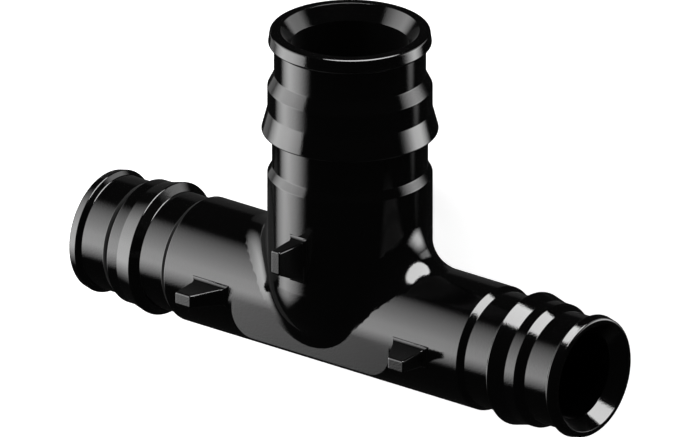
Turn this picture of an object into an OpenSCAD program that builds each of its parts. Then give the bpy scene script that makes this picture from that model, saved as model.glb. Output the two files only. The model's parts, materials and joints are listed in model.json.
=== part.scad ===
// Reducing tee for cold-expansion PEX pipe: two equal run arms and a larger branch arm, moulded in one piece.
// Each arm is a fitting stub: an end bead, two barbs with a land between them, and tabs that stop the pipe.
// The tee is drawn upright, with the run along X and the branch up, and is then laid on its three rear tabs.
// The origin is where the run axis and the branch axis cross.

/* [Run arms] */
// Distance from the tee's centre to the end face of a run arm
run_reach = 48.06; // [44:0.01:60]
// Diameter of the run between its two shoulders
run_body_d = 19.84; // [17:0.01:21]
// Diameter of the hole through the run
run_bore_d = 14.2; // [10:0.1:15.5]
// Diameter of the end bead at its back edge
run_bead_d = 19.6; // [18.8:0.05:21]
// Diameter of the end bead where its front rounding starts
run_bead_front_d = 19.1; // [18.6:0.05:19.6]
// Length of the end bead
run_bead_w = 1.55; // [1.2:0.01:3]
// Length of the slope behind the end bead
run_bead_back = 0.62; // [0.2:0.01:1]
// Diameter of the neck between the end bead and the first barb
run_neck_d = 18.06; // [16.5:0.01:18.6]
// Length of that neck
run_neck_w = 4.3; // [2:0.01:6]
// Length of the first barb's ramp
run_ramp_w = 1.46; // [0.8:0.01:3]
// Diameter of the land that the pipe seals on
run_land_d = 19.78; // [18.8:0.01:21]
// Length of the land
run_land_w = 1.9; // [1:0.01:4]
// Length of the second barb's ramp
run_barb_w = 2.93; // [1.5:0.01:4]
// Diameter of the second barb's crest
run_barb_d = 21.24; // [20.8:0.01:23]
// Length of the slope behind the second barb
run_barb_back = 0.99; // [0.3:0.01:1.5]
// Diameter of the groove behind the second barb
run_groove_d = 18.5; // [17:0.01:19.6]
// Length of that groove
run_groove_w = 4.41; // [2:0.01:6]
// Length of the shoulder that leads from the groove up to the body
run_shoulder_w = 1.05; // [0.3:0.01:2]
// Width of the lead-in chamfer in the bore's mouth
run_lead_w = 1.5; // [0.4:0.05:1.6]
// Depth of the lead-in chamfer
run_lead_depth = 2.45; // [0.5:0.05:3]

/* [Branch arm] */
// Distance from the tee's centre to the end face of the branch
branch_reach = 45.8; // [44:0.01:60]
// Diameter of the branch below its shoulder
branch_body_d = 25.6; // [24.4:0.01:28]
// Diameter of the hole in the branch
branch_bore_d = 18.3; // [14:0.1:20]
// Diameter of the end bead at its back edge
branch_bead_d = 25.4; // [24.6:0.05:27]
// Diameter of the end bead where its front rounding starts
branch_bead_front_d = 24.96; // [24.2:0.02:25.3]
// Length of the end bead
branch_bead_w = 1.99; // [1.4:0.01:3]
// Length of the slope behind the end bead
branch_bead_back = 0.51; // [0.2:0.01:1]
// Diameter of the neck between the end bead and the first barb
branch_neck_d = 23.56; // [21.5:0.01:24]
// Length of that neck
branch_neck_w = 4.68; // [2:0.01:7]
// Length of the first barb's ramp
branch_ramp_w = 2.04; // [0.8:0.01:3]
// Diameter of the land that the pipe seals on
branch_land_d = 25.6; // [24.5:0.01:27]
// Length of the land
branch_land_w = 3.64; // [1.5:0.01:5]
// Length of the second barb's ramp
branch_barb_w = 3.63; // [1.5:0.01:5]
// Diameter of the second barb's crest
branch_barb_d = 27.52; // [26.4:0.01:30]
// Length of the slope behind the second barb
branch_barb_back = 0.48; // [0.3:0.01:1.5]
// Diameter of the groove behind the second barb
branch_groove_d = 24.16; // [22:0.01:25]
// Length of that groove
branch_groove_w = 5.45; // [3:0.01:7]
// Length of the shoulder that leads from the groove up to the body
branch_shoulder_w = 1.28; // [0.3:0.01:2]
// Width of the lead-in chamfer in the bore's mouth
branch_lead_w = 1.62; // [0.4:0.02:2]
// Depth of the lead-in chamfer
branch_lead_depth = 2.28; // [0.5:0.02:3]
// Height of the centre of the domed foot, in which the branch ends inside the run
foot_h = 5.55; // [4:0.05:5.8]

/* [Blend] */
// Radius of the rolling-ball fillet between the branch and the run
blend_r = 6.25; // [5:0.05:7.5]
// Radius of the rounding on the front of the end beads
bead_round = 0.4; // [0.3:0.05:1]

/* [Pads] */
// Length of the flat pad under the branch, on each side of the run
pad_l = 31; // [26:0.1:40]
// How far the pad reaches below the run's axis
pad_drop = 5.6; // [4.9:0.1:7]
// Radius of the pad's lower corners
pad_corner = 4; // [1:0.1:4.5]

/* [Stop tabs] */
// Length of pipe that a run arm takes before it meets the tabs
run_insert = 25.5; // [24:0.1:30]
// Distance from the run's axis to a tab's end
run_tab_reach = 15.15; // [12:0.05:18]
// Width of a run tab's end, along the run
run_tab_w = 3.12; // [1.5:0.02:5]
// Thickness of a run tab
run_tab_t = 2; // [1:0.1:4]
// Length of pipe that the branch takes before it meets the tabs
branch_insert = 31.1; // [28:0.1:34]
// Distance from the branch's axis to a tab's end
branch_tab_reach = 18.57; // [15:0.01:22]
// Width of a branch tab's end, along the branch
branch_tab_w = 3.8; // [1.5:0.02:5]
// Thickness of a branch tab
branch_tab_t = 1.76; // [1:0.02:4]
// How far the root of a tab's slanted side runs past its end
tab_slant = 2.7; // [0:0.1:4]
// How far the root of a tab's stop side runs past its end
tab_draft = 0.1; // [0:0.05:1]
// How far the root of each of a tab's two cheeks runs past its end
tab_cheek_draft = 0.35; // [0:0.05:1]
// Radius of the rounding along a tab's end
tab_round = 0.25; // [0.1:0.05:0.4]
// Radius of the flare at a tab's root
tab_flare = 0.5; // [0.2:0.05:1]

/* [Hidden] */
$fn = 96;
// Steps of the two small roundings and of the swept fillet
round_steps = 5;
side_steps = 10;
dip_steps = 3;
toe_steps = 6;
ball_steps = 10;
// How deep the fillet's surface and its root lie in the walls that they join
blend_sink = 0.02;
blend_root = 2;
// How deep a tab's root lies in the wall
tab_root = 0.9;
// How far cutting shapes run past the faces that they open
past = 1;

run_r = run_body_d / 2;
branch_r = branch_body_d / 2;

// The centre of the ball that rolls along the joint keeps these distances from the run and from the branch
ball_run = run_r + blend_r;
ball_branch = branch_r + blend_r;
// Radius of the ball's path round the domed foot, in front of the pad
ball_foot = sqrt(pow(ball_branch, 2) - pow(ball_run, 2));
// Angle round the branch at which the ball comes down to the dome, and the angle at which it meets the pad
side_turn = asin(sqrt(pow(ball_run, 2) - pow(foot_h, 2)) / ball_branch);
toe_turn = -asin(foot_h / ball_foot);

// The tee lies on its rear tabs: the lean is the slope of the plane that touches a run tab and the branch tab
run_tab_lip = run_tab_t / 2;
branch_tab_lip = branch_reach - branch_insert - branch_tab_w;
lean = atan((branch_tab_reach - run_tab_reach) / (branch_tab_lip + run_tab_lip));

function unit(v) = v / norm(v);

// Points of an arc of radius r about c, from angle a to angle b
function arc(c, r, a, b, n) = [for (i = [0 : n]) c + r * [cos(a + (b - a) * i / n), sin(a + (b - a) * i / n)]];

// Outline of an arm as [radius, distance from the tee's centre], from its end face back to its foot
function arm_outline(reach, front_r, bead_r, bead_w, bead_back, neck_r, neck_w, ramp_w, land_r, land_w,
    barb_w, barb_r, barb_back, groove_r, groove_w, shoulder_w, body_r, foot) =
    let (
        bead_s = reach - bead_w,
        neck_s = bead_s - bead_back,
        ramp_s = neck_s - neck_w,
        land_s = ramp_s - ramp_w,
        barb_s = land_s - land_w,
        crest_s = barb_s - barb_w,
        groove_s = crest_s - barb_back,
        shoulder_s = groove_s - groove_w,
        body_s = shoulder_s - shoulder_w
    )
    concat(
        [[0, reach]],
        arc([front_r - bead_round, reach - bead_round], bead_round, 90, 0, round_steps),
        [
            [bead_r, bead_s],
            [neck_r, neck_s],
            [neck_r, ramp_s],
            [land_r, land_s],
            [land_r, barb_s],
            [barb_r, crest_s],
            [groove_r, groove_s],
            [groove_r, shoulder_s],
            [body_r, body_s],
            [body_r, foot],
            [0, foot]
        ]
    );

module run_arm() {
    rotate([0, 90, 0])
        rotate_extrude()
            polygon(arm_outline(run_reach, run_bead_front_d / 2, run_bead_d / 2, run_bead_w, run_bead_back,
                run_neck_d / 2, run_neck_w, run_ramp_w, run_land_d / 2, run_land_w, run_barb_w, run_barb_d / 2,
                run_barb_back, run_groove_d / 2, run_groove_w, run_shoulder_w, run_r, 0));
}

module branch_arm() {
    rotate_extrude()
        polygon(arm_outline(branch_reach, branch_bead_front_d / 2, branch_bead_d / 2, branch_bead_w,
            branch_bead_back, branch_neck_d / 2, branch_neck_w, branch_ramp_w, branch_land_d / 2, branch_land_w,
            branch_barb_w, branch_barb_d / 2, branch_barb_back, branch_groove_d / 2, branch_groove_w,
            branch_shoulder_w, branch_r, foot_h));
    translate([0, 0, foot_h])
        sphere(r = branch_r);
}

// Flat pads that stand tangent to the run's sides, from its axis down, with rounded lower corners
module pads() {
    rotate([90, 0, 0])
        linear_extrude(run_body_d, center = true)
            difference() {
                translate([-pad_l / 2, -pad_drop])
                    square([pad_l, pad_drop]);
                for (side = [-1, 1])
                    difference() {
                        translate([side * pad_l / 2, -pad_drop])
                            square(2 * pad_corner, center = true);
                        translate([side * (pad_l / 2 - pad_corner), pad_corner - pad_drop])
                            circle(pad_corner);
                    }
            }
}

// A quarter of the path of the rolling ball's centre, from beside the branch to below the domed foot:
// above the dome it stays at ball_run from the run's axis, and beside the pad it stays at ball_run from the
// tee's middle plane
function ball_quarter() = concat(
    [
        for (i = [0 : side_steps])
            let (a = side_turn * i / side_steps, y = ball_branch * sin(a))
                [ball_branch * cos(a), y, sqrt(pow(ball_run, 2) - pow(y, 2))]
    ],
    [
        for (i = [1 : dip_steps])
            let (z = foot_h * (1 - i / dip_steps), y = sqrt(pow(ball_run, 2) - pow(z, 2)))
                [sqrt(pow(ball_branch, 2) - pow(y, 2) - pow(z - foot_h, 2)), y, z]
    ],
    [
        for (i = [1 : toe_steps])
            let (a = toe_turn + (-90 - toe_turn) * i / toe_steps)
                [ball_foot * cos(a), ball_run, foot_h + ball_foot * sin(a)]
    ]
);

// The whole path, once round the tee, made of the quarter and its three mirror images
function ball_path() =
    let (q = ball_quarter(), n = len(q))
    concat(
        [for (i = [0 : n - 2]) [q[i].x, q[i].y, q[i].z]],
        [for (i = [0 : n - 2]) [-q[n - 1 - i].x, q[n - 1 - i].y, q[n - 1 - i].z]],
        [for (i = [0 : n - 2]) [-q[i].x, -q[i].y, q[i].z]],
        [for (i = [0 : n - 2]) [q[n - 1 - i].x, -q[n - 1 - i].y, q[n - 1 - i].z]]
    );

// Section of the fillet at one place of the ball: the arc from the branch to the run, then the root in the walls
function blend_section(c) =
    let (
        to_branch = unit([c.x, c.y, min(c.z - foot_h, 0)]),
        to_run = unit([0, c.y, max(c.z, 0)]),
        span = acos(to_branch * to_run),
        deep = blend_r + blend_root
    )
    concat(
        [
            for (j = [0 : ball_steps])
                c - (blend_r + blend_sink) * (to_branch * sin(span * (1 - j / ball_steps))
                    + to_run * sin(span * j / ball_steps)) / sin(span)
        ],
        [
            c - deep * to_run,
            c - deep * (to_branch + to_run) / (1 + to_branch * to_run),
            c - deep * to_branch
        ]
    );

// Fillet that runs once round the tee, between the branch with its domed foot and the run with its pads
module blend() {
    path = ball_path();
    count = len(path);
    ring = ball_steps + 4;
    polyhedron(
        points = [for (c = path) each blend_section(c)],
        faces = [
            for (i = [0 : count - 1], j = [0 : ring - 1])
                let (
                    k = (i + 1) % count,
                    m = (j + 1) % ring,
                    p = [i * ring + j, i * ring + m, k * ring + m, k * ring + j]
                )
                each [[p[2], p[1], p[0]], [p[3], p[2], p[0]]]
        ]
    );
}

// Outline of a tab from the side: a rounded end at y = -reach between x = left and x = right, and a root at
// y = -wall that runs out by the two drafts and then flares into the wall
module tab_outline(reach, wall, left, right, left_draft, right_draft) {
    polygon(concat(
        arc([left + tab_round, tab_round - reach], tab_round, 180, 270, round_steps),
        arc([right - tab_round, tab_round - reach], tab_round, 270, 360, round_steps),
        arc([right + right_draft, -wall] + [tab_flare, -tab_flare], tab_flare, 180, 90, round_steps),
        [[right + right_draft + tab_flare, tab_root - wall], [left - left_draft - tab_flare, tab_root - wall]],
        arc([left - left_draft, -wall] + [-tab_flare, -tab_flare], tab_flare, 90, 0, round_steps)
    ));
}

// One stop tab that stands out along -Y, with its stop face toward +X at x = 0 at its end: the two outlines
// of its width and its thickness, crossed
module tab(reach, wall, width, thick) {
    span = 2 * (width + tab_slant + tab_flare + past);
    intersection() {
        linear_extrude(span, center = true)
            tab_outline(reach, wall, -width, 0, tab_slant, tab_draft);
        rotate([0, 90, 0])
            linear_extrude(span, center = true)
                tab_outline(reach, wall, -thick / 2, thick / 2, tab_cheek_draft, tab_cheek_draft);
    }
}

module stop_tabs() {
    for (arm = [0, 180], side = [0, 1])
        rotate([0, 0, arm])
            mirror([0, side, 0])
                translate([run_reach - run_insert, 0, 0])
                    tab(run_tab_reach, run_r, run_tab_w, run_tab_t);
    for (side = [0, 1])
        mirror([0, side, 0])
            translate([0, 0, branch_reach - branch_insert])
                rotate([0, -90, 0])
                    tab(branch_tab_reach, branch_r, branch_tab_w, branch_tab_t);
}

// A bore along Z from the tee's centre out of an arm, with a lead-in chamfer at its mouth
module bore(start, reach, bore_r, lead_w, lead_depth) {
    translate([0, 0, start])
        cylinder(r = bore_r, h = reach + past - start);
    slope = lead_w / lead_depth;
    translate([0, 0, reach - lead_depth])
        cylinder(r1 = bore_r, r2 = bore_r + slope * (lead_depth + past), h = lead_depth + past);
}

module bores() {
    for (arm = [-90, 90])
        rotate([0, arm, 0])
            bore(-past, run_reach, run_bore_d / 2, run_lead_w, run_lead_depth);
    bore(foot_h, branch_reach, branch_bore_d / 2, branch_lead_w, branch_lead_depth);
    translate([0, 0, foot_h])
        sphere(r = branch_bore_d / 2);
}

module tee_body() {
    color("#0b0b0c")
        rotate([lean - 90, 0, 0])
            difference() {
                union() {
                    run_arm();
                    mirror([1, 0, 0])
                        run_arm();
                    branch_arm();
                    pads();
                    blend();
                    stop_tabs();
                }
                bores();
            }
}

tee_body();
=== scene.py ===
"""A moulded black plastic pipe tee, lying on its rear stop tabs under soft boxes."""
import json
import math

import bpy
import numpy as np
from mathutils import Matrix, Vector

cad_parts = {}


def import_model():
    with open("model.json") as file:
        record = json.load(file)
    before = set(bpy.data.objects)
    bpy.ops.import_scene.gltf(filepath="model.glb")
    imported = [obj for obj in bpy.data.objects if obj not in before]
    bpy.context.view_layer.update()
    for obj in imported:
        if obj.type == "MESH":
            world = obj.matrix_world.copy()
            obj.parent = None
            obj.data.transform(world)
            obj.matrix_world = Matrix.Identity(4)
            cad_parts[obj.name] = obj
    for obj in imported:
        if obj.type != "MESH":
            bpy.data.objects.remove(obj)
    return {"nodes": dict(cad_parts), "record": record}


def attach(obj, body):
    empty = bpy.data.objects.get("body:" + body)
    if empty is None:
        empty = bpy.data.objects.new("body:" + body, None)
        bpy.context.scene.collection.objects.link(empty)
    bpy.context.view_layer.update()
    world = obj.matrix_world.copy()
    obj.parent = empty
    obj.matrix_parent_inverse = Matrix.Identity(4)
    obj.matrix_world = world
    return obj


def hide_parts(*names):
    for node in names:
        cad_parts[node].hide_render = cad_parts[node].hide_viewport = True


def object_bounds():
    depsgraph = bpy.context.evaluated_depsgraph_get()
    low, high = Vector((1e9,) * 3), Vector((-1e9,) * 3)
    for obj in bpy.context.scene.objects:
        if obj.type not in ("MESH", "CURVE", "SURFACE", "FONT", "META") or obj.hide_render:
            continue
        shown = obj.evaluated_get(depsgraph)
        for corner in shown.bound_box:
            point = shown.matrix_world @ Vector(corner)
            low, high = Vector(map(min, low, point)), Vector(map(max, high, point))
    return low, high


MM = 0.001
TINY = 1e-9

# Corners of the loose triangles that are nearer than this, in metres, are one point.
WELD = 1e-7

# The tee, as the part's source has it, in millimetres.
RUN_BODY_R = 9.92
BRANCH_BODY_R = 12.8
BLEND_R = 6.25
FOOT_H = 5.55

# The blend's points are looked up on the ball's path. BLEND_SLACK is how far from the ball's surface
# a point may be, FLAT_SLACK how much the normals of a small flat's corners may differ, and
# BLEND_ALONG the least cosine between them and the ball's.
PATH_STEPS = 3000
POINTS_AT_ONCE = 500
BLEND_SLACK = 0.03
FLAT_SLACK = 1e-3
BLEND_ALONG = 0.95

# Each arm's axis and two directions across it, in the upright tee, and where its tabs have ended.
# All of an arm is within ARM_RADIUS, and SEAM is how far the turned grid's joints are moved back.
ARMS = (
    (((1, 0, 0), (0, 1, 0), (0, 0, 1)), 24.0),
    (((-1, 0, 0), (0, -1, 0), (0, 0, 1)), 24.0),
    (((0, 0, 1), (1, 0, 0), (0, 1, 0)), 17.0),
)
ARM_RADIUS = 14.5
SEAM = 0.8

# How an arm's outline is read: a ring has at least RING_POINTS points in one place to RING_DIGITS
# decimals, and sides shorter than SIDE_MIN or turned less than BEND_MIN degrees are left out. A
# point may be RING_SLACK off its ring, and a ring LIP_SLACK off the lip's radius.
RING_POINTS = 12
RING_DIGITS = 2
RING_SLACK = 0.02
LIP_SLACK = 0.005
SIDE_MIN = 0.04
BEND_MIN = 1

# The tool's corners leave each turned edge of the moulding a little round. A side shorter than
# SHORT_SIDE is part of a rounding already, and the lip's rounding starts only LIP_T before it.
EDGE_R = 0.25
EDGE_STEPS = 4
SHORT_SIDE = 0.25
LIP_T = 0.03
TURN_STEPS = 120

# The stop tabs, in the upright tee: each stands out one way and stops the pipe another, at a place
# along that way. Then come how far it reaches, where its wall is, its width and its thickness.
TABS = tuple(
    ((0, y, 0), (x, 0, 0), (0, 0, 1), 22.56, 15.15, 9.92, 3.12, 2.0) for x in (-1, 1) for y in (-1, 1)
) + tuple(
    ((0, y, 0), (0, 0, 1), (1, 0, 0), 14.7, 18.57, 12.8, 3.8, 1.76) for y in (-1, 1)
)

# All tabs: the flare's height, how much wider the root is behind, in front and at each cheek, the
# roundings of the corners and of the end, and the height at which the round corners begin. A
# point of the tab may be TAB_SLACK below the flare's top.
TAB_FLARE = 0.5
TAB_SLANT = 2.7
TAB_DRAFT = 0.1
TAB_CHEEK = 0.35
TAB_CORNER = 0.35
TAB_END_R = 0.26
TAB_COLLAR = 0.35
TAB_STEPS = 5
TAB_SLACK = 0.01

# The moulding's skin, in millimetres: its sandy grain and the slow change in its gloss, between
# two roughnesses. The real grain is too fine to show in the render, so it is drawn coarser.
GRAIN = 0.24
GRAIN_DEPTH = 0.026
FLOW = 9.0
ROUGHNESS = (0.06, 0.09)

# The view of the photograph, where the tee stands upright, with its branch on top: degrees, and mm
# across the picture, from the axes' crossing up to its middle, and from there to the camera.
VIEW_AZIMUTH = -51.48
VIEW_ELEVATION = 22.67
VIEW_WIDTH = 108.14
VIEW_RISE = 13.105
VIEW_DISTANCE = 400.0

# The studio: the floor in metres, and levels beside white paper, which is 1. A lamp of LAMP_UNIT
# watts per square metre has a face at level 1.
FLOOR_HALF = 4.0
FLOOR_GLOW = 0.68
WORLD_IN_GLOSS = 0.01
WORLD_FILL = 0.15
LAMP_UNIT = 4.0

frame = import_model()
cad_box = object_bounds()
branch_axis = next(m for m in frame["record"]["mounts"] if m["name"] == "branch_bore")["axis"]
LEAN = math.atan2(branch_axis[2], branch_axis[1])


def linear(hex_colour):
    """Turn an sRGB hex colour into linear red, green, blue and alpha."""
    parts = np.array([int(hex_colour[i:i + 2], 16) for i in (1, 3, 5)]) / 255
    line = np.where(parts <= 0.04045, parts / 12.92, ((parts + 0.055) / 1.055) ** 2.4)
    return (*line.tolist(), 1.0)


def node(tree, kind, settings=(), inputs=(), **links):
    """Add a node, give it its settings and input values, and link inputs named by keyword.

    A keyword is the input's name, or in and its number.
    """
    new = tree.nodes.new(kind)
    for name, value in dict(settings).items():
        setattr(new, name, value)
    for name, value in dict(inputs).items():
        new.inputs[name].default_value = value
    for name, source in links.items():
        socket = int(name[2:]) if name.startswith("in") else name
        tree.links.new(source, new.inputs[socket])
    return new


def empty_tree(owner):
    """Switch nodes on for a material, world or lamp and clear them."""
    owner.use_nodes = True
    owner.node_tree.nodes.clear()
    return owner.node_tree


def upright(points):
    """Turn points or directions of the lying tee to the upright one, about the run's axis."""
    c, s = math.sin(LEAN), -math.cos(LEAN)
    return points @ np.array([[1, 0, 0], [0, c, -s], [0, s, c]])


def lying(points):
    """Turn points or directions of the upright tee to the lying one."""
    c, s = math.sin(LEAN), -math.cos(LEAN)
    return points @ np.array([[1, 0, 0], [0, c, s], [0, -s, c]])


def ball_path():
    """Centres of the ball that rolls round the foot of the branch, for one quarter.

    Beside the branch the ball touches both bodies: with the run's and the branch's radius each
    grown by the ball's, x^2 + y^2 = branch^2 and y^2 + z^2 = run^2. Below the branch's foot it
    keeps to the run, and then runs round the foot's round end.
    """
    run = RUN_BODY_R + BLEND_R
    branch = BRANCH_BODY_R + BLEND_R
    foot = math.sqrt(branch ** 2 - run ** 2)
    a = np.linspace(0, math.asin(math.sqrt(run ** 2 - FOOT_H ** 2) / branch), PATH_STEPS)
    above_foot = np.sqrt(run ** 2 - (branch * np.sin(a)) ** 2)
    beside = np.stack([branch * np.cos(a), branch * np.sin(a), above_foot], 1)
    z = np.linspace(FOOT_H, 0, PATH_STEPS)
    y = np.sqrt(run ** 2 - z ** 2)
    dip = np.stack([np.sqrt(np.maximum(branch ** 2 - y ** 2 - (z - FOOT_H) ** 2, 0)), y, z], 1)
    t = np.linspace(-math.asin(FOOT_H / foot), -math.pi / 2, PATH_STEPS)
    toe = np.stack([foot * np.cos(t), np.full(PATH_STEPS, run), FOOT_H + foot * np.sin(t)], 1)
    return np.concatenate([beside, dip, toe])


def blend_normals(points):
    """Normals of the rolled blend at upright points, and which points lie on it.

    The normal points from the surface to the ball's nearest centre. All quarters are folded into
    one by the signs of x and y.
    """
    sign = np.where(points[:, :2] < 0, -1.0, 1.0)
    folded = points.copy()
    folded[:, :2] *= sign
    path = ball_path()
    nearest = np.concatenate([
        np.argmin(((part[:, None, :] - path[None]) ** 2).sum(2), 1)
        for part in np.array_split(folded, max(1, len(folded) // POINTS_AT_ONCE))
    ])
    out = path[nearest] - folded
    length = np.linalg.norm(out, axis=1)
    out /= np.maximum(length, TINY)[:, None]
    out[:, :2] *= sign
    return out, np.abs(length - BLEND_R) < BLEND_SLACK


def read_faces(source):
    """The moulding's triangles: merged points in the upright frame in mm, and a normal per corner."""
    mesh = source.data
    spots = np.empty(len(mesh.vertices) * 3)
    mesh.vertices.foreach_get("co", spots)
    corners = np.empty(len(mesh.loops), dtype=np.int32)
    mesh.loops.foreach_get("vertex_index", corners)
    normals = np.empty(len(mesh.loops) * 3, dtype=np.float32)
    mesh.corner_normals.foreach_get("vector", normals)
    keys, merged = np.unique(np.round(spots.reshape(-1, 3) / WELD), axis=0, return_inverse=True)
    faces = merged.ravel()[corners].reshape(-1, 3)
    whole = (faces != np.roll(faces, 1, 1)).all(1)
    normals = upright(normals.reshape(-1, 3).astype(float)).reshape(-1, 3, 3)
    return upright(keys * WELD / MM), faces[whole], normals[whole]


def smooth_blend(points, faces, normals):
    """Give the blend's small flats the normal of the ball that rolled it."""
    rolled, on_blend = blend_normals(points)
    flat = np.abs(normals - normals[:, :1]).max((1, 2)) < FLAT_SLACK
    along = (normals * rolled[faces]).sum(2).min(1) > BLEND_ALONG
    blend = flat & on_blend[faces].all(1) & along
    normals[blend] = rolled[faces[blend]]


def arm_profile(along, radius):
    """An arm's outline from its body to its front and into its bore, read from its rings of points.

    A ring is a place along the axis and a radius that many points share. The rings outside the
    lead-in's lip go forward, and the others go back into the bore.
    """
    places = np.stack([along, radius], 1)
    found = np.unique(np.round(places, RING_DIGITS), axis=0, return_inverse=True, return_counts=True)
    ring, count = found[1].ravel(), found[2]
    rings = np.stack([np.bincount(ring, places[:, i]) / count for i in (0, 1)], 1)[count >= RING_POINTS]
    reach = rings[:, 0].max()
    lip = rings[rings[:, 0] > reach - RING_SLACK, 1].min()
    outer = rings[rings[:, 1] > lip + LIP_SLACK]
    inner = rings[rings[:, 1] < lip + LIP_SLACK]
    outer = outer[np.lexsort((-outer[:, 1], outer[:, 0]))]
    inner = inner[np.argsort(-inner[:, 0])]
    inner = inner[:np.argmin(inner[:, 1]) + 1]
    outline = np.concatenate([outer[:1] - [SEAM, 0], outer, inner, inner[-1:] - [SEAM, 0]])
    outline = outline[np.append(True, np.linalg.norm(np.diff(outline, axis=0), axis=1) > SIDE_MIN)]
    way = np.diff(outline, axis=0)
    way /= np.linalg.norm(way, axis=1)[:, None]
    bend = np.degrees(np.arccos(np.clip((way[:-1] * way[1:]).sum(1), -1, 1)))
    return outline[np.concatenate([[True], bend > BEND_MIN, [True]])]


def rounded(outline):
    """Round each corner of an outline by an arc that is tangent to both sides, with its normals.

    With the bend b between the two sides, the arc starts t before the corner, and its radius is
    t / tan(b / 2). A corner between long sides gets the edge's radius. One beside a short side is
    part of a rounding already, so there t is half the short side and the arcs join up. The lip,
    where the front turns into the bore, is left crisp.
    """
    way = np.diff(outline, axis=0)
    length = np.linalg.norm(way, axis=1)
    way /= length[:, None]
    first, second = way[:-1], way[1:]
    bend = np.arccos(np.clip((first * second).sum(1), -1, 1))
    turn = np.sign(first[:, 0] * second[:, 1] - first[:, 1] * second[:, 0])
    room = np.minimum(length[:-1], length[1:]) / 2
    t = np.where(room < SHORT_SIDE / 2, room, np.minimum(EDGE_R * np.tan(bend / 2), room))
    at_front = outline[1:-1, 0] > outline[:, 0].max() - LIP_T
    t[at_front & (outline[2:, 0] < outline[1:-1, 0] - SHORT_SIDE)] = LIP_T
    radius = (t / np.tan(bend / 2))[:, None]
    angle = bend[:, None] * np.linspace(0, 1, EDGE_STEPS + 1)
    side = np.stack([-first[:, 1], first[:, 0]], 1) * turn[:, None]
    sin, cos = np.sin(angle)[..., None], np.cos(angle)[..., None]
    start = outline[1:-1] - t[:, None] * first
    points = start[:, None] + radius[:, None] * (sin * first[:, None] + (1 - cos) * side[:, None])
    tangent = cos * first[:, None] + sin * side[:, None]
    normals = np.stack([-tangent[..., 1], tangent[..., 0]], -1)
    return points.reshape(-1, 2), normals.reshape(-1, 2)


def zipper(a, b, a_angle, b_angle):
    """Triangles between two rings, whose points are in order of their angles.

    Both rings are walked at once: an edge's third point is the one that the other ring has
    reached at the angle of the edge's middle. Where both middles are at one angle, a goes first.
    """
    a_next, b_next = np.roll(a, -1), np.roll(b, -1)
    a_mid = (a_angle + np.append(a_angle[1:], a_angle[0] + 2 * np.pi)) / 2
    b_mid = (b_angle + np.append(b_angle[1:], b_angle[0] + 2 * np.pi)) / 2
    b_tip = b[np.searchsorted(b_mid, a_mid) % len(b)]
    a_tip = a[np.searchsorted(a_mid, b_mid, "right") % len(a)]
    return np.concatenate([np.stack([a, a_next, b_tip], 1), np.stack([a_tip, b_next, b], 1)])


def ring_faces(index):
    """Triangles between each ring of a grid of point numbers and the next one."""
    here, there = index[:-1], index[1:]
    here_next, there_next = np.roll(here, -1, 1), np.roll(there, -1, 1)
    return np.concatenate([
        np.stack([here, here_next, there_next], -1).reshape(-1, 3),
        np.stack([here, there_next, there], -1).reshape(-1, 3),
    ])


def turn_arm(points, faces, normals, basis, past_tabs):
    """Replace an arm's turned faces by a turned grid with rounded edges.

    The grid is the rounded outline turned about the arm's axis. The body's and the bore's end
    rings are moved back along their cylinders, and a zipper joins each to the grid.
    """
    local = points @ basis.T
    along, radius = local[:, 0], np.hypot(local[:, 1], local[:, 2])
    near = (along > past_tabs) & (radius < ARM_RADIUS)
    outline = arm_profile(along[near], radius[near])
    body, bore = outline[0] + [SEAM, 0], outline[-1] + [SEAM, 0]
    turned = (near & (along > body[0] - RING_SLACK))[faces].all(1)
    at_body, at_bore = (
        near & (np.abs(along - end[0]) < RING_SLACK) & (np.abs(radius - end[1]) < RING_SLACK)
        for end in (body, bore)
    )
    points = points - (at_body | at_bore)[:, None] * SEAM * basis[0]
    line, out = rounded(outline)
    angle = np.linspace(-np.pi, np.pi, TURN_STEPS, endpoint=False)
    ring = np.stack([np.zeros_like(angle), np.cos(angle), np.sin(angle)], 1)
    grid = (line[:, None, :1] * [1, 0, 0] + line[:, None, 1:] * ring) @ basis
    grid_out = (out[:, None, :1] * [1, 0, 0] + out[:, None, 1:] * ring) @ basis
    index = len(points) + np.arange(len(line) * TURN_STEPS).reshape(len(line), TURN_STEPS)
    point_angle = np.arctan2(local[:, 2], local[:, 1])
    body_ring, bore_ring = np.flatnonzero(at_body), np.flatnonzero(at_bore)
    body_ring = body_ring[np.argsort(point_angle[body_ring])]
    bore_ring = bore_ring[np.argsort(point_angle[bore_ring])]
    new = np.concatenate([
        ring_faces(index),
        zipper(body_ring, index[0], point_angle[body_ring], angle),
        zipper(index[-1], bore_ring, angle, point_angle[bore_ring]),
    ])
    outward = np.zeros((len(points) + index.size, 3))
    outward[index.ravel()] = grid_out.reshape(-1, 3)
    radial = (local * [0, 1, 1]) / np.maximum(radius, TINY)[:, None]
    outward[body_ring] = radial[body_ring] @ basis
    outward[bore_ring] = -radial[bore_ring] @ basis
    return (np.concatenate([points, grid.reshape(-1, 3)]), np.concatenate([faces[~turned], new]),
            np.concatenate([normals[~turned], outward[new]]))


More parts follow.
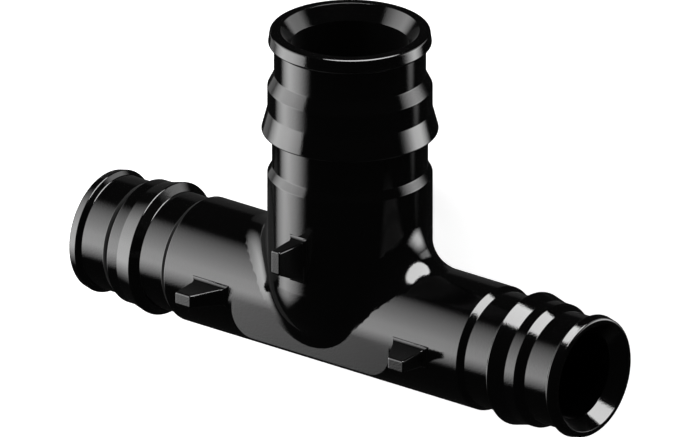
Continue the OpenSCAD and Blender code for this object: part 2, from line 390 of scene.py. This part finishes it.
def tab_loft(stop_at, reach, base, width, thick):
    """Rings of points up a stop tab, in its own directions, their normals, and the rings' middles.

    A ring is a rectangle whose sides close in evenly towards the end, with a quarter circle at
    each corner. At the end, another quarter circle turns the sides into the flat end.
    """
    turn = np.linspace(0, np.pi / 2, TAB_STEPS + 1)
    height = np.append(base + TAB_COLLAR, reach - TAB_END_R * (1 - np.sin(turn)))
    inset = np.append(0, TAB_END_R * (1 - np.cos(turn)))
    tilt = np.append(0, turn)[:, None, None]
    root = (reach - height) / (reach - base)
    low = stop_at - width - TAB_SLANT * root + inset
    high = stop_at + TAB_DRAFT * root - inset
    half = thick / 2 + TAB_CHEEK * root - inset
    middle = (low + high) / 2
    corner = TAB_CORNER - inset
    angle = turn + np.arange(4)[:, None] * np.pi / 2 - np.pi
    flat = np.stack([np.cos(angle), np.sin(angle)], -1).reshape(-1, 2)
    quadrant = np.sign(np.stack([np.cos(angle[:, 1]), np.sin(angle[:, 1])], -1))
    quadrant = np.repeat(quadrant, TAB_STEPS + 1, 0)
    size = np.stack([(high - low) / 2, half], -1)[:, None] - corner[:, None, None]
    ring = quadrant * size + flat * corner[:, None, None]
    ring[..., 0] += middle[:, None]
    lean = np.where(flat[:, 0] < 0, TAB_SLANT, TAB_DRAFT) * np.abs(flat[:, 0])
    lean = (lean + TAB_CHEEK * np.abs(flat[:, 1])) / (reach - base)
    side = np.concatenate([flat, lean[:, None]], 1)
    side /= np.linalg.norm(side, axis=1)[:, None]
    out = np.cos(tilt) * side + np.sin(tilt) * [0, 0, 1]
    height = np.broadcast_to(height[:, None, None], ring.shape[:2] + (1,))
    return np.concatenate([ring, height], -1), out, middle


def round_tab(points, faces, normals, tab):
    """Replace a stop tab above its flare by one with round edges.

    A zipper joins the lowest ring of the tab's loft to the flare, and a fan closes its end. A
    corner of a triangle on the flare, which has no normal of its own, gets the triangle's.
    """
    basis, (stop_at, reach, wall, width, thick) = np.array([tab[1], tab[2], tab[0]]), tab[3:]
    base = wall + TAB_FLARE
    local = points @ basis.T
    near = (local[:, 2] > base - TAB_SLACK) & (np.abs(local[:, 1]) < thick)
    near &= np.abs(local[:, 0] - (stop_at - width / 2)) < width / 2 + TAB_SLANT + TAB_FLARE
    cut = near[faces].all(1)
    rim = np.intersect1d(faces[cut], faces[~cut])
    loft, out, middle = tab_loft(stop_at, reach, base, width, thick)
    index = len(points) + np.arange(loft[..., 0].size).reshape(loft.shape[:2])
    centre = index.max() + 1
    last, last_next = index[-1], np.roll(index[-1], -1)
    polar_rim = np.arctan2(local[rim, 1], local[rim, 0] - middle[0])
    polar = np.arctan2(loft[0, :, 1], loft[0, :, 0] - middle[0])
    rim_order, order = np.argsort(polar_rim), np.argsort(polar)
    new = np.concatenate([
        ring_faces(index),
        np.stack([last, last_next, np.full_like(last, centre)], -1),
        zipper(rim[rim_order], index[0][order], polar_rim[rim_order], polar[order]),
    ])
    tip = [[middle[-1], 0, reach]]
    points = np.concatenate([points, loft.reshape(-1, 3) @ basis, tip @ basis])
    outward = np.zeros((len(points), 3))
    outward[index.ravel()] = out.reshape(-1, 3) @ basis
    outward[centre] = basis[2]
    turned = outward[new]
    across = np.cross(points[new[:, 1]] - points[new[:, 0]], points[new[:, 2]] - points[new[:, 0]])
    back = (across * turned.sum(1)).sum(1) < 0
    new[back], turned[back] = new[back][:, ::-1], turned[back][:, ::-1]
    across[back] *= -1
    across /= np.maximum(np.linalg.norm(across, axis=1), TINY)[:, None]
    unset = ~turned.any(2)
    turned[unset] = np.repeat(across[:, None], 3, 1)[unset]
    return points, np.concatenate([faces[~cut], new]), np.concatenate([normals[~cut], turned])


def tee_piece(source, material):
    """The moulding, from the solid's faces: merged, its blend smooth, its turned edges and tabs round."""
    points, faces, normals = read_faces(source)
    smooth_blend(points, faces, normals)
    for basis, past_tabs in ARMS:
        points, faces, normals = turn_arm(points, faces, normals, np.array(basis), past_tabs)
    for tab in TABS:
        points, faces, normals = round_tab(points, faces, normals, tab)
    mesh = bpy.data.meshes.new("moulded_tee")
    mesh.from_pydata(lying(points) * MM, [], faces.tolist())
    mesh.polygons.foreach_set("use_smooth", np.ones(len(faces), dtype=bool))
    mesh.normals_split_custom_set(lying(normals.reshape(-1, 3)).tolist())
    mesh.materials.append(material)
    mesh.update()
    piece = bpy.data.objects.new("moulded_tee", mesh)
    bpy.context.scene.collection.objects.link(piece)
    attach(piece, "root")
    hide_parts("tee_body")


def black_sulphone():
    """Injection-moulded black polysulphone.

    To the eye it is a deep, dense black whose colour is all in its reflections: the resin's high
    index shows soft boxes as grey fields, which the mould's fine sandy grain breaks up a little.
    In its own gloss the tee is dull, as in the photograph, where no arm mirrors another.
    """
    material = bpy.data.materials.new("black_sulphone_moulded")
    tree = empty_tree(material)
    spot = node(tree, "ShaderNodeTexCoord").outputs["Object"]
    grain = node(tree, "ShaderNodeTexNoise",
                 inputs={"Scale": 1 / (GRAIN * MM), "Detail": 2.0, "Roughness": 0.6}, Vector=spot)
    flow = node(tree, "ShaderNodeTexNoise", inputs={"Scale": 1 / (FLOW * MM), "Detail": 2.0}, Vector=spot)
    rough = node(tree, "ShaderNodeMapRange",
                 inputs={"From Min": 0.3, "From Max": 0.7, "To Min": ROUGHNESS[0], "To Max": ROUGHNESS[1]},
                 Value=flow.outputs["Fac"])
    ray = node(tree, "ShaderNodeLightPath")
    dull = node(tree, "ShaderNodeMath", {"operation": "ADD", "use_clamp": True},
                in0=rough.outputs["Result"], in1=ray.outputs["Is Glossy Ray"])
    bump = node(tree, "ShaderNodeBump",
                inputs={"Strength": 0.35, "Distance": GRAIN_DEPTH * MM}, Height=grain.outputs["Fac"])
    skin = node(tree, "ShaderNodeBsdfPrincipled",
                inputs={"Base Color": linear("#030303"), "IOR": 1.63, "Specular IOR Level": 0.8},
                Roughness=dull.outputs[0], Normal=bump.outputs["Normal"])
    node(tree, "ShaderNodeOutputMaterial", Surface=skin.outputs["BSDF"])
    return material


def floor_paper():
    """Matt white paper, which shows the tee's shadow. To the camera it glows a little as well."""
    material = bpy.data.materials.new("matt_white_paper")
    tree = empty_tree(material)
    ray = node(tree, "ShaderNodeLightPath")
    paper = node(tree, "ShaderNodeBsdfDiffuse", inputs={"Color": linear("#f4f4f4")})
    glow = node(tree, "ShaderNodeEmission", inputs={"Color": linear("#ffffff"), "Strength": FLOOR_GLOW})
    none = node(tree, "ShaderNodeEmission", inputs={"Strength": 0.0})
    seen = node(tree, "ShaderNodeMixShader",
                in0=ray.outputs["Is Camera Ray"], in1=none.outputs[0], in2=glow.outputs[0])
    both = node(tree, "ShaderNodeAddShader", in0=paper.outputs[0], in1=seen.outputs[0])
    node(tree, "ShaderNodeOutputMaterial", Surface=both.outputs[0])
    return material


def floor():
    """A flat sheet under the tee, at the height of its lowest point.

    The tee's gloss doesn't show it, because in the photograph the tee stands in free space and
    its gloss shows the soft boxes below it instead.
    """
    z = cad_box[0][2]
    h = FLOOR_HALF
    mesh = bpy.data.meshes.new("floor")
    mesh.from_pydata([(-h, -h, z), (h, -h, z), (h, h, z), (-h, h, z)], [], [(0, 1, 2, 3)])
    mesh.materials.append(floor_paper())
    sheet = bpy.data.objects.new("floor", mesh)
    sheet.visible_glossy = False
    bpy.context.scene.collection.objects.link(sheet)


def world():
    """White where the camera looks, dim where the tee's gloss does, with a little fill.

    The tee's gloss shows a dark surround in the photograph.
    """
    studio = bpy.data.worlds.new("studio")
    bpy.context.scene.world = studio
    tree = empty_tree(studio)
    ray = node(tree, "ShaderNodeLightPath")
    gloss = node(tree, "ShaderNodeMath", {"operation": "MULTIPLY"}, {1: WORLD_IN_GLOSS},
                 in0=ray.outputs["Is Glossy Ray"])
    fill = node(tree, "ShaderNodeMath", {"operation": "MULTIPLY"}, {1: WORLD_FILL},
                in0=ray.outputs["Is Diffuse Ray"])
    seen = node(tree, "ShaderNodeMath", {"operation": "MAXIMUM"},
                in0=ray.outputs["Is Camera Ray"], in1=ray.outputs["Is Transmission Ray"])
    some = node(tree, "ShaderNodeMath", {"operation": "ADD"}, in0=gloss.outputs[0], in1=fill.outputs[0])
    level = node(tree, "ShaderNodeMath", {"operation": "ADD"}, in0=seen.outputs[0], in1=some.outputs[0])
    sky = node(tree, "ShaderNodeBackground", inputs={"Color": linear("#ffffff")}, Strength=level.outputs[0])
    node(tree, "ShaderNodeOutputWorld", Surface=sky.outputs[0])


def soft_box(name, azimuth, elevation, distance, level, edges, fades, shape="RECTANGLE", top=0.0):
    """A lamp in a plane, distance mm from the tee, that faces it.

    The edges are left, right, low and high in the plane, in mm beside the azimuth and elevation
    that the plane faces. The level is its brightness beside white paper, in its middle. From each
    edge it rises to that over the edge's fade, evenly, as behind a soft box's cloth. The top is
    the share of the level at which the high edge starts; the other edges start from nothing.
    """
    left, right, low, high = edges
    data = bpy.data.lights.new(name, "AREA")
    data.shape = shape
    data.size = (right - left) * MM
    data.size_y = (high - low) * MM
    data.energy = LAMP_UNIT * level * data.size * data.size_y
    tree = empty_tree(data)
    spot = node(tree, "ShaderNodeTexCoord").outputs["Object"]
    spot = node(tree, "ShaderNodeSeparateXYZ", in0=spot)
    bright = None
    ends = ((0, -1, fades[0], 0.0), (0, 1, fades[1], 0.0), (1, -1, fades[2], 0.0), (1, 1, fades[3], top))
    for axis, side, fade, start in ends:
        if fade:
            edge = side * (data.size, data.size_y)[axis] / 2
            full = edge - side * fade * MM
            rise = node(tree, "ShaderNodeMapRange",
                        inputs={"From Min": edge, "From Max": full, "To Min": start},
                        Value=spot.outputs[axis]).outputs["Result"]
            bright = rise if bright is None else node(
                tree, "ShaderNodeMath", {"operation": "MULTIPLY"}, in0=bright, in1=rise).outputs[0]
    glow = node(tree, "ShaderNodeEmission")
    if bright is not None:
        tree.links.new(bright, glow.inputs["Strength"])
    node(tree, "ShaderNodeOutputLight", Surface=glow.outputs[0])
    lamp = bpy.data.objects.new(name, data)
    a, e = math.radians(azimuth), math.radians(elevation)
    back = np.array([math.cos(e) * math.cos(a), math.cos(e) * math.sin(a), math.sin(e)])
    across = np.array([-math.sin(a), math.cos(a), 0.0])
    above = np.cross(back, across)
    centre = back * distance + across * (left + right) / 2 + above * (low + high) / 2
    place(lamp, centre * MM, back, across)
    bpy.context.scene.collection.objects.link(lamp)


def place(thing, spot, back, right):
    """Put a lamp or camera at a spot, with its back and its right side along two directions."""
    turn = np.eye(4)
    turn[:3] = np.stack([right, np.cross(back, right), back, spot], 1)
    thing.matrix_world = Matrix(turn.tolist())


def camera():
    """The photograph's view, which has no perspective, turned with the tee from upright to lying."""
    a, e = math.radians(VIEW_AZIMUTH), math.radians(VIEW_ELEVATION)
    back = lying(np.array([math.cos(e) * math.cos(a), math.cos(e) * math.sin(a), math.sin(e)]))
    right = lying(np.array([-math.sin(a), math.cos(a), 0.0]))
    above = np.cross(back, right)
    data = bpy.data.cameras.new("camera")
    data.type = "ORTHO"
    data.ortho_scale = VIEW_WIDTH * MM
    data.clip_start = 0.01
    data.clip_end = 20.0
    eye = bpy.data.objects.new("camera", data)
    place(eye, (above * VIEW_RISE + back * VIEW_DISTANCE) * MM, back, right)
    bpy.context.scene.collection.objects.link(eye)
    bpy.context.scene.camera = eye


camera()
bpy.context.scene.view_settings.view_transform = "Standard"
tee_piece(frame["nodes"]["tee_body"], black_sulphone())
floor()
world()

# The soft boxes that the tee's gloss shows in the photograph, where the tee stands upright in free
# space. Beside the lying tee, the first two reach below the floor and the other four are below it.
soft_box("left_box", 180, 20, 400, 2.65, (-400, 355, -172, 370), (430, 200, 172, 210), top=0.5)
soft_box("top_box", 80, 12, 500, 3.9, (-215, 250, -245, 265), (0, 0, 0, 0), "ELLIPSE")
soft_box("low_box", 35, -42, 220, 2.9, (-105, 62, -92, 121), (50, 70, 70, 100))
soft_box("low_side_box", 35, -42, 220, 0.9, (20, 118, -100, 115), (25, 10, 60, 60))
soft_box("under_box", 180, 20, 400, 0.3, (-60, 100, -380, -172), (0, 0, 0, 0))
soft_box("back_box", 157, -40, 300, 0.035, (-95, 95, -110, 110), (0, 0, 0, 0))
